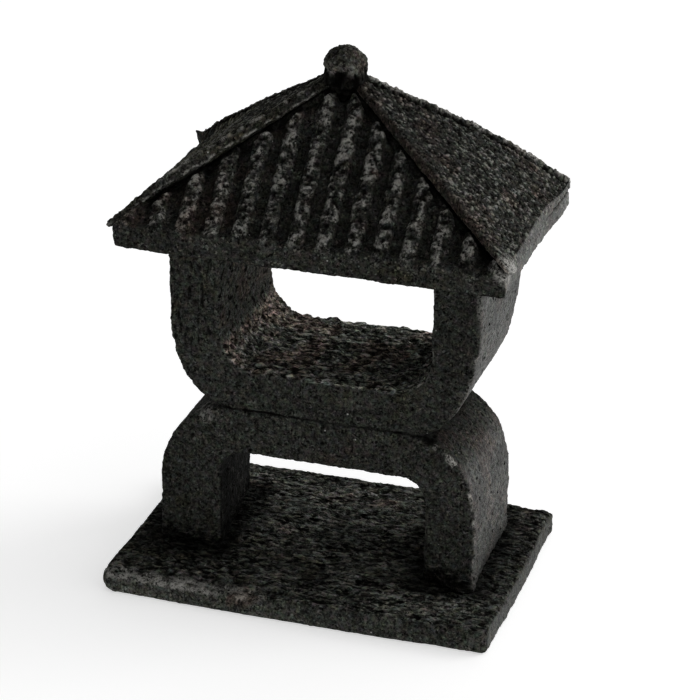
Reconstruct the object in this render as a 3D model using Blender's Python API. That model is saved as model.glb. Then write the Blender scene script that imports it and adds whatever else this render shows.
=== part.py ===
"""A stone pagoda ornament for an aquarium or a pond: a base slab, a bridge-shaped arch, a U-shaped cradle,
a tiled hip roof built of plates round a core, and a finial, bonded to each other with thin mortar beds.

Metres, +Z up, front towards -Y. The origin is the middle of the footprint, on the ground.
"""

import math

import bmesh
import bpy
from mathutils import Matrix, Vector

# Joints between the stones
GAP = 0.0003
BED = 0.0004
JOINT = GAP + BED + GAP
BED_INSET = 0.0015

# Base slab
BASE_SIZE = (0.150, 0.100, 0.0094)
BASE_CENTRE = (-0.0004, -0.0008)
BASE_EDGE_RADIUS = 0.0016
BASE_CORNER_RADIUS = 0.004

# Lower arch: an upside-down U
ARCH_X = (-0.0637, 0.0613)
ARCH_Y = (-0.0220, 0.0293)
ARCH_FOOT_Z = BASE_SIZE[2] + JOINT
ARCH_TOP_Z = 0.0706
ARCH_SHOULDER = (0.0303, 0.0334)
TUNNEL_RIGHT_X = 0.0420
TUNNEL_LEFT_X = (-0.0396, -0.0454)
TUNNEL_TOP_Z = 0.0524
TUNNEL_RADIUS = 0.010

# Upper cradle: a U that stands on the arch and is closed by the roof
CRADLE_X = (-0.0583, 0.0611)
CRADLE_Y = (-0.0246, 0.0317)
CRADLE_BASE_Z = ARCH_TOP_Z + JOINT
CRADLE_TOP_Z = 0.1394
CRADLE_CORNER = (0.0250, 0.0418)
CHAMBER_RIGHT_X = 0.0440
CHAMBER_LEFT_X = (-0.0398, -0.0379)
CHAMBER_FLOOR_Z = 0.0880
CHAMBER_RADIUS = 0.016

# Roof: the tiled slopes and the side slabs rise from the eave band to the apex
EAVE_Z = CRADLE_TOP_Z + JOINT
EAVE_BAND = 0.0096
APEX = Vector((0.0007, 0.0035, 0.1990))
FRONT_EAVE_Y = -0.0438
BACK_EAVE_Y = 0.0508
FRONT_BAND_X = (-0.0728, 0.0756)
BACK_BAND_X = (-0.0745, 0.0759)
BAND_DEPTH = 0.0072
BAND_LIP = 0.0002
CORE_SIDE_PITCH = 0.70
LEFT_CORNER_X = -0.0759
RIGHT_CORNER_X = 0.0757
LEFT_EAVE_X = -0.0698
RIGHT_EAVE_X = 0.0738
FLARE_POWER = 2.2
CORE_SIDE_X = (-0.0694, 0.0736)
ROOF_FLAT_Z = 0.1983

# Tile panels
PANEL_THICKNESS = 0.0065
RIB_PITCH = 0.01064
RIB_HEIGHT = 0.0030
RIB_FIRST_X = -0.0568
RIB_HALF_SHARE = 0.31
RIB_POINTS = 8

# Plain side slabs
SLAB_EAVE_THICKNESS = 0.0012
SLAB_THICKNESS = 0.0048
SLAB_APEX_THICKNESS = 0.0034
SLAB_SWELL_LENGTH = 0.45
SLAB_OVERHANG = 0.002
SLAB_FRONT_TAPER = 0.1
SLAB_ROWS = 14
SLAB_COLUMNS = 10

# Finial
FINIAL_RADIUS = 0.0079
FINIAL_MIDDLE_Z = 0.2040
FINIAL_TOP_Z = 0.2113
FINIAL_BED_RADIUS = 0.0056
TENON_RADIUS = 0.0040
TENON_LENGTH = 0.0150
SOCKET_CLEARANCE = 0.0003

# Mortar beds on the roof's slopes
BED_HIP_MARGIN = 0.004
BED_EAVE_MARGIN = 0.0035
BED_APEX_MARGIN = 0.018

ARC_STEPS = 14
CUT_PAST = 0.005
REACH = 0.3

STONE = (0.028, 0.029, 0.028, 1.0)
STONE_LIGHT = (0.045, 0.046, 0.044, 1.0)
MORTAR = (0.020, 0.020, 0.019, 1.0)


def clear_scene():
    for obj in list(bpy.data.objects):
        bpy.data.objects.remove(obj, do_unlink=True)


def material(name, colour, roughness):
    made = bpy.data.materials.new(name)
    made.use_nodes = True
    shader = made.node_tree.nodes["Principled BSDF"]
    shader.inputs["Base Color"].default_value = colour
    shader.inputs["Roughness"].default_value = roughness
    shader.inputs["Metallic"].default_value = 0.0
    return made


def add_object(name, mesh_builder, finish):
    """A named object from a bmesh, with its faces turned outwards."""
    bmesh.ops.recalc_face_normals(mesh_builder, faces=mesh_builder.faces)
    mesh = bpy.data.meshes.new(name)
    mesh_builder.to_mesh(mesh)
    mesh_builder.free()
    obj = bpy.data.objects.new(name, mesh)
    bpy.context.scene.collection.objects.link(obj)
    if finish is not None:
        mesh.materials.append(finish)
    return obj


def helper(name, mesh_builder):
    """A cutter or a guide: it shapes other objects and isn't a part."""
    obj = add_object(name, mesh_builder, None)
    obj.hide_render = True
    obj.display_type = "WIRE"
    return obj


def boolean(obj, other, operation):
    modifier = obj.modifiers.new(operation.lower() + "_" + other.name, "BOOLEAN")
    modifier.operation = operation
    modifier.solver = "EXACT"
    modifier.object = other


def round_edges(obj, width, segments):
    modifier = obj.modifiers.new("worn_edges", "BEVEL")
    modifier.width = width
    modifier.segments = segments
    modifier.limit_method = "ANGLE"
    modifier.angle_limit = math.radians(40)


def smooth(obj):
    obj.data.shade_smooth()
    obj.data.set_sharp_from_angle(angle=math.radians(35))


def arc(centre, radii, start_deg, end_deg, steps=ARC_STEPS):
    """Points of an elliptical arc in a plane, both ends included."""
    points = []
    for i in range(steps + 1):
        angle = math.radians(start_deg + (end_deg - start_deg) * i / steps)
        points.append((centre[0] + radii[0] * math.cos(angle), centre[1] + radii[1] * math.sin(angle)))
    return points


def loft_along_y(front, back, front_y, back_y):
    """A closed solid between two outlines of the same number of (x, z) points."""
    made = bmesh.new()
    near = [made.verts.new((x, front_y, z)) for x, z in front]
    far = [made.verts.new((x, back_y, z)) for x, z in back]
    made.faces.new(near)
    made.faces.new(list(reversed(far)))
    count = len(near)
    for i in range(count):
        j = (i + 1) % count
        made.faces.new((near[i], far[i], far[j], near[j]))
    return made


def box(low, high):
    made = bmesh.new()
    size = [b - a for a, b in zip(low, high)]
    centre = [(a + b) / 2 for a, b in zip(low, high)]
    placed = Matrix.Translation(centre) @ Matrix.Diagonal((*size, 1.0))
    bmesh.ops.create_cube(made, size=1.0, matrix=placed)
    return made


def clip(made, point, normal):
    """Cuts away what lies on the normal's side of a plane and closes the cut."""
    geometry = made.verts[:] + made.edges[:] + made.faces[:]
    cut = bmesh.ops.bisect_plane(
        made, geom=geometry, plane_co=point, plane_no=normal, dist=1e-7, clear_outer=True
    )
    edges = [item for item in cut["geom_cut"] if isinstance(item, bmesh.types.BMEdge)]
    bmesh.ops.holes_fill(made, edges=edges, sides=0)
    return made


def cylinder(radius, low_z, high_z, segments=32):
    made = bmesh.new()
    middle = Vector((APEX.x, APEX.y, (low_z + high_z) / 2))
    bmesh.ops.create_cone(
        made,
        cap_ends=True,
        segments=segments,
        radius1=radius,
        radius2=radius,
        depth=high_z - low_z,
        matrix=Matrix.Translation(middle),
    )
    return made


def base_slab(finish):
    half = [BASE_SIZE[0] / 2, BASE_SIZE[1] / 2]
    low = (BASE_CENTRE[0] - half[0], BASE_CENTRE[1] - half[1], 0.0)
    high = (BASE_CENTRE[0] + half[0], BASE_CENTRE[1] + half[1], BASE_SIZE[2])
    made = box(low, high)
    upright = [e for e in made.edges if abs(e.verts[0].co.z - e.verts[1].co.z) > BASE_SIZE[2] / 2]
    bmesh.ops.bevel(
        made, geom=upright, offset=BASE_CORNER_RADIUS, segments=5, profile=0.5, affect="EDGES"
    )
    obj = add_object("base_slab", made, finish)
    round_edges(obj, BASE_EDGE_RADIUS, 3)
    smooth(obj)


def arch_outline():
    left, right = ARCH_X
    shoulder_x, shoulder_z = ARCH_SHOULDER
    spring_z = ARCH_TOP_Z - shoulder_z
    outline = [(right, ARCH_FOOT_Z)]
    outline += arc((right - shoulder_x, spring_z), ARCH_SHOULDER, 0, 90)
    outline += arc((left + shoulder_x, spring_z), ARCH_SHOULDER, 90, 180)
    outline.append((left, ARCH_FOOT_Z))
    return outline


def tunnel_outline(left_x):
    """The way through the arch, open below."""
    radii = (TUNNEL_RADIUS, TUNNEL_RADIUS)
    centre_z = TUNNEL_TOP_Z - TUNNEL_RADIUS
    below_z = ARCH_FOOT_Z - CUT_PAST
    outline = [(TUNNEL_RIGHT_X, below_z)]
    outline += arc((TUNNEL_RIGHT_X - TUNNEL_RADIUS, centre_z), radii, 0, 90, 8)
    outline += arc((left_x + TUNNEL_RADIUS, centre_z), radii, 90, 180, 8)
    outline.append((left_x, below_z))
    return outline


def through_cut(name, outline_at, left_xs, ys):
    """A cutter that runs past both faces; its left wall slants from the front face to the back one."""
    front_y, back_y = ys
    slant = (left_xs[1] - left_xs[0]) / (back_y - front_y)
    front = outline_at(left_xs[0] - slant * CUT_PAST)
    back = outline_at(left_xs[1] + slant * CUT_PAST)
    return helper(name, loft_along_y(front, back, front_y - CUT_PAST, back_y + CUT_PAST))


def lower_arch(finish):
    outline = arch_outline()
    obj = add_object("lower_arch", loft_along_y(outline, outline, *ARCH_Y), finish)
    boolean(obj, through_cut("tunnel_cut", tunnel_outline, TUNNEL_LEFT_X, ARCH_Y), "DIFFERENCE")
    smooth(obj)


def cradle_outline():
    left, right = CRADLE_X
    corner_x, corner_z = CRADLE_CORNER
    spring_z = CRADLE_BASE_Z + corner_z
    outline = [(left, CRADLE_TOP_Z)]
    outline += arc((left + corner_x, spring_z), CRADLE_CORNER, 180, 270)
    outline += arc((right - corner_x, spring_z), CRADLE_CORNER, 270, 360)
    outline.append((right, CRADLE_TOP_Z))
    return outline


def chamber_outline(left_x):
    """The trough in the cradle, open above."""
    radii = (CHAMBER_RADIUS, CHAMBER_RADIUS)
    centre_z = CHAMBER_FLOOR_Z + CHAMBER_RADIUS
    above_z = CRADLE_TOP_Z + CUT_PAST
    outline = [(left_x, above_z)]
    outline += arc((left_x + CHAMBER_RADIUS, centre_z), radii, 180, 270, 10)
    outline += arc((CHAMBER_RIGHT_X - CHAMBER_RADIUS, centre_z), radii, 270, 360, 10)
    outline.append((CHAMBER_RIGHT_X, above_z))
    return outline


def upper_cradle(finish):
    outline = cradle_outline()
    obj = add_object("upper_cradle", loft_along_y(outline, outline, *CRADLE_Y), finish)
    boolean(obj, through_cut("chamber_cut", chamber_outline, CHAMBER_LEFT_X, CRADLE_Y), "DIFFERENCE")
    smooth(obj)


def front_normal():
    """Outward normal of the front slope's contact plane."""
    run = APEX.y - FRONT_EAVE_Y
    rise = APEX.z - EAVE_Z - EAVE_BAND
    return Vector((0, -rise, run)).normalized()


def back_normal():
    run = BACK_EAVE_Y - APEX.y
    rise = APEX.z - EAVE_Z - EAVE_BAND
    return Vector((0, rise, run)).normalized()


def side_normal(side):
    """Outward normal of the core's side slope, which is a little steeper than the slab on it."""
    return Vector((side * CORE_SIDE_PITCH, 0, 1)).normalized()


def hip_plane(corner):
    """Level normal of the upright plane through the apex and a roof corner, pointing to the apex's right."""
    along = Vector((corner[0] - APEX.x, corner[1] - APEX.y, 0))
    return Vector((-along.y, along.x, 0)).normalized()


def roof_corners():
    return {
        "front_left": (LEFT_CORNER_X, FRONT_EAVE_Y),
        "front_right": (RIGHT_CORNER_X, FRONT_EAVE_Y),
        "back_left": (LEFT_CORNER_X, BACK_EAVE_Y),
        "back_right": (BACK_BAND_X[1], BACK_EAVE_Y),
    }


def panel_room(name, normal, eave_y, side, hips):
    """What the core gives up to a tiled slope: the room for its plate and band, up to the hips."""
    drop = (PANEL_THICKNESS + JOINT) / normal.z
    inner_y = eave_y + side * (BAND_DEPTH + GAP)
    ramp = (APEX.z - EAVE_Z - EAVE_BAND) / abs(APEX.y - eave_y)
    inner_z = EAVE_Z + EAVE_BAND + ramp * abs(inner_y - eave_y) - drop
    outline = [
        (eave_y - side * CUT_PAST, EAVE_Z - CUT_PAST),
        (inner_y, EAVE_Z - CUT_PAST),
        (inner_y, inner_z),
        (APEX.y, APEX.z - drop),
        (APEX.y, APEX.z + CUT_PAST),
        (eave_y - side * CUT_PAST, APEX.z + CUT_PAST),
    ]
    made = bmesh.new()
    near = [made.verts.new((-REACH, y, z)) for y, z in outline]
    far = [made.verts.new((REACH, y, z)) for y, z in outline]
    made.faces.new(near)
    made.faces.new(list(reversed(far)))
    for i in range(len(outline)):
        j = (i + 1) % len(outline)
        made.faces.new((near[i], far[i], far[j], near[j]))
    for corner, away in hips:
        plane = hip_plane(corner) * away
        clip(made, Vector((APEX.x, APEX.y, 0)) + plane * (GAP / 2), plane)
    return helper(name, made)


def roof_core(finish, front_hips, back_hips):
    """The block inside the roof: upright side eaves with a slope above each, and room for the tiled slopes."""
    low = (CORE_SIDE_X[0], FRONT_EAVE_Y, EAVE_Z)
    high = (CORE_SIDE_X[1], BACK_EAVE_Y, APEX.z)
    made = box(low, high)
    for side in (-1, 1):
        clip(made, APEX - side_normal(side) * JOINT, side_normal(side))
    core = add_object("roof_core", made, finish)
    front = panel_room("front_panel_room", front_normal(), FRONT_EAVE_Y, 1, front_hips)
    back = panel_room("back_panel_room", back_normal(), BACK_EAVE_Y, -1, back_hips)
    boolean(core, front, "DIFFERENCE")
    boolean(core, back, "DIFFERENCE")
    return core


def rib_profile(x):
    """Height of the tile surface above the valleys at x: round ribs with flat valleys between them."""
    phase = ((x - RIB_FIRST_X) / RIB_PITCH + 0.5) % 1.0 - 0.5
    if abs(phase) >= RIB_HALF_SHARE:
        return 0.0
    return RIB_HEIGHT * math.sqrt(1 - (phase / RIB_HALF_SHARE) ** 2)


def rib_stations(low_x, high_x):
    """Where the tile surface bends, from left to right."""
    stations = {low_x, high_x}
    first = math.floor((low_x - RIB_FIRST_X) / RIB_PITCH) - 1
    last = math.ceil((high_x - RIB_FIRST_X) / RIB_PITCH) + 1
    for rib in range(first, last + 1):
        centre = RIB_FIRST_X + rib * RIB_PITCH
        for i in range(RIB_POINTS + 1):
            x = centre - RIB_HALF_SHARE * RIB_PITCH * math.cos(math.pi * i / RIB_POINTS)
            if low_x < x < high_x:
                stations.add(x)
    return sorted(stations)


def tile_plate(normal, eave_y):
    """A ribbed plate that lies on one slope, from the eave band to past the apex."""
    up_slope = Vector((0, APEX.y - eave_y, APEX.z - EAVE_Z - EAVE_BAND)).normalized()
    foot = Vector((0, eave_y, EAVE_Z + EAVE_BAND))
    length = (APEX - Vector((APEX.x, eave_y, EAVE_Z + EAVE_BAND))).length
    low_x, high_x = LEFT_CORNER_X - CUT_PAST, RIGHT_CORNER_X + CUT_PAST
    stations = rib_stations(low_x, high_x)
    outline = [(x, rib_profile(x) - RIB_HEIGHT) for x in stations]
    outline += [(high_x, -PANEL_THICKNESS), (low_x, -PANEL_THICKNESS)]
    made = bmesh.new()
    rings = []
    for along in (-CUT_PAST, length + CUT_PAST):
        start = foot + up_slope * along
        rings.append([made.verts.new(start + Vector((x, 0, 0)) + normal * h) for x, h in outline])
    made.faces.new(rings[0])
    made.faces.new(list(reversed(rings[1])))
    count = len(outline)
    for i in range(count):
        j = (i + 1) % count
        made.faces.new((rings[0][i], rings[1][i], rings[1][j], rings[0][j]))
    return made


def tile_panel(name, finish, normal, eave_y, band_x, corners, side):
    """A tiled slope on its plain eave band, cut to the roof's hips."""
    plate = add_object(name, tile_plate(normal, eave_y), finish)
    inner_y = eave_y + side * BAND_DEPTH
    ends = sorted((eave_y, inner_y))
    wedge = box((-REACH, min(eave_y, APEX.y), EAVE_Z), (REACH, max(eave_y, APEX.y), ROOF_FLAT_Z))
    for corner, away in corners:
        plane = hip_plane(corner) * away
        clip(wedge, Vector((APEX.x, APEX.y, 0)) - plane * (GAP / 2), plane)
    for x, away in zip(band_x, (-1, 1)):
        clip(wedge, Vector((x, 0, 0)), Vector((away, 0, 0)))
    boolean(plate, helper(name + "_limits", wedge), "INTERSECT")
    band = box((band_x[0], ends[0], EAVE_Z), (band_x[1], ends[1], EAVE_Z + EAVE_BAND - BAND_LIP))
    for corner, away in corners:
        plane = hip_plane(corner) * away
        clip(band, Vector((APEX.x, APEX.y, 0)) - plane * (GAP / 2), plane)
    boolean(plate, helper(name + "_band", band), "UNION")
    boolean(plate, bpy.data.objects["tenon_socket"], "DIFFERENCE")
    return plate


def slab_thickness(share):
    """Upright thickness of a side slab, from 0 at the eave to 1 at the apex: thin, swelling, then even."""
    if share < SLAB_SWELL_LENGTH:
        left = 1 - share / SLAB_SWELL_LENGTH
        return SLAB_THICKNESS - (SLAB_THICKNESS - SLAB_EAVE_THICKNESS) * left * left
    after = (share - SLAB_SWELL_LENGTH) / (1 - SLAB_SWELL_LENGTH)
    return SLAB_THICKNESS - (SLAB_THICKNESS - SLAB_APEX_THICKNESS) * after


def eave_x(side, y):
    """Where a side slab ends at the eave: it flares out towards the front corner."""
    edge, corner = (LEFT_EAVE_X, LEFT_CORNER_X) if side < 0 else (RIGHT_EAVE_X, RIGHT_CORNER_X)
    share = min(max((BACK_EAVE_Y - y) / (BACK_EAVE_Y - FRONT_EAVE_Y), 0), 1)
    return edge + (corner - edge) * share**FLARE_POWER


def hip_y(corner, x):
    """The hip's y at x, on the straight line from the apex to a corner."""
    share = (x - APEX.x) / (corner[0] - APEX.x)
    return APEX.y + (corner[1] - APEX.y) * share


def slab_point(side, hips, share, across):
    """Where a side slab's flared surface would be with no thickness, from the eave (share 0) to the apex and from
    the front hip to the back one.
    """
    peak_x = APEX.x + side * SLAB_OVERHANG
    x = hips[0][0] + (peak_x - hips[0][0]) * share
    for _ in range(4):
        front_y = hip_y(hips[0], x) + GAP / 2
        back_y = hip_y(hips[1], x) - GAP / 2
        y = front_y + (back_y - front_y) * across
        x = eave_x(side, y) + (peak_x - eave_x(side, y)) * share
    foot_z = EAVE_Z + EAVE_BAND
    ramp = (APEX.z - foot_z) / abs(hips[0][0] - APEX.x)
    peak_z = APEX.z - ramp * SLAB_OVERHANG
    return x, y, foot_z + (peak_z - foot_z) * share


def slab_underside(x, z, across):
    """How low a side slab reaches: down to the core's slope, except along the front hip."""
    core_z = APEX.z - CORE_SIDE_PITCH * abs(x - APEX.x)
    return min(z, z + (core_z - z) * min(across / SLAB_FRONT_TAPER, 1))


def quad(made, layer, row, column):
    """The face between two rows and two columns of a grid of vertices."""
    here, above = layer[row], layer[row + 1]
    made.faces.new((here[column], here[column + 1], above[column + 1], above[column]))


def side_slab(name, finish, side, hips):
    """A plain triangular slab on a side slope, with upright edges along both hips."""
    rows, columns = SLAB_ROWS, SLAB_COLUMNS
    made = bmesh.new()
    under, over = [], []
    for row in range(rows + 1):
        share = row / rows
        points = [slab_point(side, hips, share, column / columns) for column in range(columns + 1)]
        top_z = [min(z + slab_thickness(share), ROOF_FLAT_Z) for _, _, z in points]
        lows = [
            slab_underside(x, z, column / columns) for column, (x, _, z) in enumerate(points)
        ]
        under.append([made.verts.new((x, y, low)) for (x, y, _), low in zip(points, lows)])
        over.append([made.verts.new((x, y, high)) for (x, y, _), high in zip(points, top_z)])
    for row in range(rows):
        for column in range(columns):
            quad(made, over, row, column)
            quad(made, under, row, column)
    for column in (0, columns):
        edge = [[under[row][column], over[row][column]] for row in range(rows + 1)]
        for row in range(rows):
            quad(made, edge, row, 0)
    for row in (0, rows):
        for column in range(columns):
            quad(made, [under[row], over[row]], 0, column)
    obj = add_object(name, made, finish)
    boolean(obj, bpy.data.objects["tenon_socket"], "DIFFERENCE")
    smooth(obj)


def finial(finish):
    """A ball with a flat foot and a tenon that goes down into the roof."""
    foot_z = ROOF_FLAT_Z + JOINT
    rise = FINIAL_TOP_Z - FINIAL_MIDDLE_Z
    foot_deg = math.degrees(math.asin((foot_z - FINIAL_MIDDLE_Z) / rise))
    profile = arc((0.0, FINIAL_MIDDLE_Z), (FINIAL_RADIUS, rise), 90, foot_deg)
    profile += [(TENON_RADIUS, foot_z), (TENON_RADIUS, foot_z - TENON_LENGTH), (0.0, foot_z - TENON_LENGTH)]
    made = bmesh.new()
    verts = [made.verts.new((APEX.x + r, APEX.y, z)) for r, z in profile]
    edges = [made.edges.new(pair) for pair in zip(verts, verts[1:])]
    bmesh.ops.spin(
        made,
        geom=verts + edges,
        cent=(APEX.x, APEX.y, 0),
        axis=(0, 0, 1),
        angle=math.tau,
        steps=32,
        use_merge=True,
    )
    bmesh.ops.remove_doubles(made, verts=made.verts, dist=1e-6)
    smooth(add_object("finial", made, finish))


def finial_bed(finish):
    low_z = ROOF_FLAT_Z + GAP
    obj = add_object("finial_bed", cylinder(FINIAL_BED_RADIUS, low_z, low_z + BED), finish)
    boolean(obj, bpy.data.objects["tenon_socket"], "DIFFERENCE")


def level_bed(name, finish, x_range, y_range, under_z):
    """A thin level mortar bed above the face at under_z."""
    low = (x_range[0] + BED_INSET, y_range[0] + BED_INSET, under_z + GAP)
    high = (x_range[1] - BED_INSET, y_range[1] - BED_INSET, under_z + GAP + BED)
    add_object(name, box(low, high), finish)


def sloping_bed(name, finish, normal, corners, offset):
    """A thin mortar bed on one slope of the core, kept back from the hips, the band and the apex."""
    up_slope = Vector((-normal.x, -normal.y, 0)).normalized()
    centre = APEX - normal * (offset + GAP + BED / 2)
    across = normal.cross(up_slope).normalized()
    along = across.cross(normal).normalized()
    made = box((-REACH, -REACH, -BED / 2), (REACH, REACH, BED / 2))
    turn = Matrix((across, along, normal)).transposed().to_4x4()
    bmesh.ops.transform(made, matrix=Matrix.Translation(centre) @ turn, verts=made.verts)
    for corner, away in corners:
        plane = hip_plane(corner) * away
        clip(made, Vector((APEX.x, APEX.y, 0)) - plane * BED_HIP_MARGIN, plane)
    clip(made, Vector((0, 0, EAVE_Z + EAVE_BAND + BED_EAVE_MARGIN)), Vector((0, 0, -1)))
    clip(made, Vector((0, 0, APEX.z - BED_APEX_MARGIN)), Vector((0, 0, 1)))
    add_object(name, made, finish)


def build():
    clear_scene()
    stone = material("lava_stone", STONE, 0.92)
    side_stone = material("lava_stone_sawn", STONE_LIGHT, 0.88)
    tile_stone = material("lava_stone_tiles", STONE, 0.95)
    finial_stone = material("lava_stone_finial", STONE_LIGHT, 0.9)
    mortar = material("mortar", MORTAR, 0.97)

    socket_radius = TENON_RADIUS + SOCKET_CLEARANCE
    socket_low_z = ROOF_FLAT_Z + JOINT - TENON_LENGTH - SOCKET_CLEARANCE
    helper("tenon_socket", cylinder(socket_radius, socket_low_z, APEX.z + CUT_PAST))

    base_slab(stone)
    lower_arch(stone)
    upper_cradle(stone)

    corners = roof_corners()
    front_hips = ((corners["front_left"], -1), (corners["front_right"], 1))
    back_hips = ((corners["back_left"], 1), (corners["back_right"], -1))
    left_hips = ((corners["front_left"], 1), (corners["back_left"], -1))
    right_hips = ((corners["front_right"], -1), (corners["back_right"], 1))

    core = roof_core(stone, front_hips, back_hips)
    boolean(core, bpy.data.objects["tenon_socket"], "DIFFERENCE")
    tile_panel("roof_front_panel", tile_stone, front_normal(), FRONT_EAVE_Y, FRONT_BAND_X, front_hips, 1)
    tile_panel("roof_back_panel", tile_stone, back_normal(), BACK_EAVE_Y, BACK_BAND_X, back_hips, -1)
    side_slab("roof_left_slab", side_stone, -1, (corners["front_left"], corners["back_left"]))
    side_slab("roof_right_slab", side_stone, 1, (corners["front_right"], corners["back_right"]))
    finial(finial_stone)

    level_bed("foot_bed_left", mortar, (ARCH_X[0], TUNNEL_LEFT_X[1]), ARCH_Y, BASE_SIZE[2])
    level_bed("foot_bed_right", mortar, (TUNNEL_RIGHT_X, ARCH_X[1]), ARCH_Y, BASE_SIZE[2])
    waist_x = (CRADLE_X[0] + CRADLE_CORNER[0], CRADLE_X[1] - CRADLE_CORNER[0])
    level_bed("waist_bed", mortar, waist_x, ARCH_Y, ARCH_TOP_Z)
    level_bed("eave_bed_left", mortar, (CRADLE_X[0], CHAMBER_LEFT_X[0]), CRADLE_Y, CRADLE_TOP_Z)
    level_bed("eave_bed_right", mortar, (CHAMBER_RIGHT_X, CRADLE_X[1]), CRADLE_Y, CRADLE_TOP_Z)
    finial_bed(mortar)
    sloping_bed("front_panel_bed", mortar, front_normal(), front_hips, PANEL_THICKNESS)
    sloping_bed("back_panel_bed", mortar, back_normal(), back_hips, PANEL_THICKNESS)
    sloping_bed("left_slab_bed", mortar, side_normal(-1), left_hips, 0.0)
    sloping_bed("right_slab_bed", mortar, side_normal(1), right_hips, 0.0)


build()
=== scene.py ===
"""The looks of the lava-stone pagoda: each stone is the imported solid, remeshed and carved in code with pores,
chisel marks and worn edges, under a procedural stone material.

The scene is in metres, +Z up, front towards -Y. The carving works in millimetres.
"""

import math

import bpy
import numpy as np
from mathutils import Matrix, Vector


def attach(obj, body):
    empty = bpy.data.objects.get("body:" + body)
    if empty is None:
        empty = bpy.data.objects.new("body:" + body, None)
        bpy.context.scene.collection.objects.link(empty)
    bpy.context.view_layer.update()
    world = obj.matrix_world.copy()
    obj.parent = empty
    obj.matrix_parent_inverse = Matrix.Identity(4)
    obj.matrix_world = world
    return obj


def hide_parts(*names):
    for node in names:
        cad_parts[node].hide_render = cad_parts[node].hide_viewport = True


MM = 0.001

# Camera, in metres and degrees
TARGET = Vector((-0.0004, -0.0008, 0.095))
AZIMUTH = 17.37
ELEVATION = 24.59
ROLL = 0.59
DISTANCE = 1.1343
LENS = 154.3
SHIFT = (0.0199, -0.0151)
SENSOR = 36.0
CLIP = (0.05, 50.0)

# Light: a wide sun, and a sky that goes from dim to bright towards SKY_FROM
SUN_STRENGTH = 1.0
SUN_ANGLE = 35.0
SUN_FROM = (0.80, 0.42, 0.42)
SKY_DIM = 0.06
SKY_BRIGHT = 1.35
SKY_FROM = (0.85, 0.52, 0.05)
SKY_SPREAD = (-0.6, 0.9)

# Floor
FLOOR_SIZE = 12.0
FLOOR_Z = -0.0002
FLOOR_GLOW = 0.55
FLOOR_TINT = 0.80

# The solid's own measures, in millimetres
APEX = (0.7, 3.5)
FRONT_LEFT, FRONT_RIGHT = (-75.9, -43.8), (75.7, -43.8)
BACK_LEFT, BACK_RIGHT = (-75.9, 50.8), (75.9, 50.8)
RIB_PITCH = 10.64
RIB_FIRST_X = -56.8
RIB_HALF_SHARE = 0.31
SLAB_FOOT_Z = 150.0
SLAB_RAMP = 0.6526
SEAM_HEIGHTS = (9.9, 139.9)
WAIST_Z = 71.1
ARCH_FEET_X = ((-66, -40), (40, 61))
ARCH_FEET_Y = (-24, 28)

# Where a kind of surface begins, in millimetres: heights, and distances from the middle
BASE_UPPER_Z = (5.5, 8)
ARCH_FEET_Z = (14.0, 22.0)
SLOPE_Z = (148.5, 150.5)
BASE_SIDE_X = (58, 64)
ARCH_SIDE_X = (46, 52)
CRADLE_SIDE_X = (44, 50)
ROOF_SIDE_X = (56, 62)

# Marks on the stone, and the place of a painted shadow in the notch at the cradle's right foot, in millimetres
PALE_CORNER = (76.0, -39.8, 149.5)
PALE_SHOULDER = (-45.0, -17.0, 67.0)
TAN_SPOT = (-21.0, -50.8, 8.6)
NOTCH_SHADOW = (43.5, -23.0, 69.5)

# Voxel of each stone's mesh, in millimetres
VOXEL = {
    "base_slab": 0.62,
    "lower_arch": 0.575,
    "upper_cradle": 0.59,
    "roof_core": 0.75,
    "roof_front_panel": 0.46,
    "roof_back_panel": 0.48,
    "roof_left_slab": 0.46,
    "roof_right_slab": 0.44,
    "finial": 0.34,
}

# Smoothing passes: for an edge as round as one voxel, and to tell the edges of a mesh with 1 mm voxels
ROUNDING_PASSES = 2.2
EDGE_PASSES = 9

# Each stone material: its dark and its light patches, and how much the pale grains show
STONES = {
    "lava_stone": ((0.010, 0.010, 0.0092, 1.0), (0.056, 0.056, 0.052, 1.0), 0.6),
    "lava_stone_tiles": ((0.009, 0.009, 0.0082, 1.0), (0.046, 0.045, 0.042, 1.0), 0.8),
    "lava_stone_sawn": ((0.008, 0.008, 0.0074, 1.0), (0.050, 0.049, 0.045, 1.0), 0.9),
    "lava_stone_finial": ((0.020, 0.0186, 0.0170, 1.0), (0.080, 0.0755, 0.070, 1.0), 0.9),
}

# Colours that the stones share
BLACK = (0.0020, 0.0018, 0.0016, 1.0)
GRAIN = (0.15, 0.148, 0.138, 1.0)
CRYSTAL = (0.40, 0.40, 0.38, 1.0)
CHALK = (0.33, 0.323, 0.30, 1.0)
WARM_CHALK = (0.36, 0.325, 0.285, 1.0)
BROWN_TINT = (1.16, 0.97, 0.88, 1.0)
GREEN_TINT = (0.98, 1.02, 0.95, 1.0)
OLIVE_TINT = (1.02, 1.02, 0.80, 1.0)
DOUBLE = (2.0, 2.0, 2.0, 1.0)
WHITE = (1.0, 1.0, 1.0, 1.0)


# ---------------------------------------------------------------- noise in mesh space


def hashed(cells, seed):
    """A repeatable number from 0 to 1 for each whole-number cell."""
    cells = cells.astype(np.int64)
    bits = cells[:, 0] * 0x8DA6B343 ^ cells[:, 1] * 0xD8163841 ^ cells[:, 2] * 0xCB1AB31F
    bits = (bits + seed * 0x9E3779B9) & 0xFFFFFFFF
    bits = ((bits ^ (bits >> 15)) * 0x2C1B3C6D) & 0xFFFFFFFF
    bits = ((bits ^ (bits >> 12)) * 0x297A2D39) & 0xFFFFFFFF
    return (bits ^ (bits >> 15)) / 0xFFFFFFFF


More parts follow.
